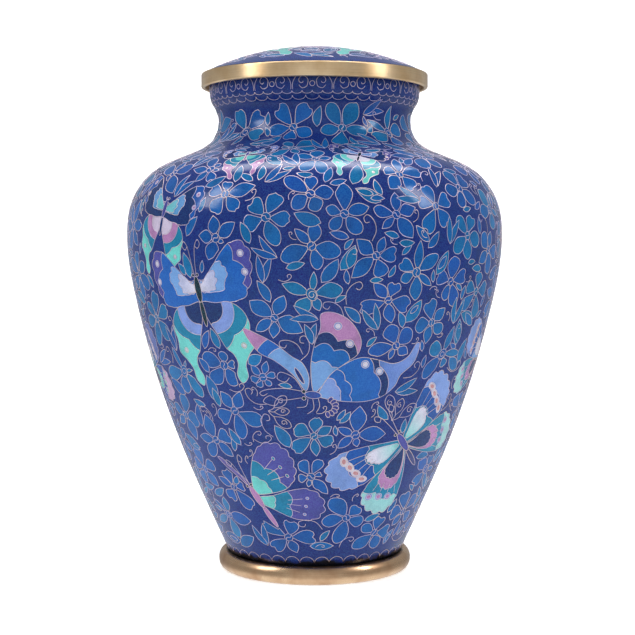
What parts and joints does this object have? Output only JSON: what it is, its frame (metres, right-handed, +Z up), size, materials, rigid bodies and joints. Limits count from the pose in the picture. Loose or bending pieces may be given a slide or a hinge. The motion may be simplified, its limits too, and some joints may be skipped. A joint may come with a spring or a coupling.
{
  "type": "funeral urn",
  "caption": "Round-shouldered funeral urn in blue enamel with wire-outlined flowers and butterflies, on a brass foot ring, with a lift-off domed lid in a brass rim.",
  "frame": {"origin": "centre of the foot ring's underside, on the surface that the urn stands on", "axes": "+Z up along the urn's axis; the side shown in the picture faces -Y"},
  "size_m": [0.178, 0.178, 0.2468],
  "materials": {
    "blue_enamel": "polished vitreous enamel over copper, with flowers and butterflies in inlaid wire",
    "lid_enamel": "polished vitreous enamel over copper, with a butterfly in inlaid wire",
    "rim_brass": "satin, lathe-brushed round the rim",
    "foot_brass": "satin, slightly dulled and pinkish"
  },
  "bodies": {
    "root": {"urn_body": "blue_enamel", "foot_ring": "foot_brass", "lid_rim": "rim_brass", "lid_dome": "lid_enamel"}
  },
  "joints": []
}
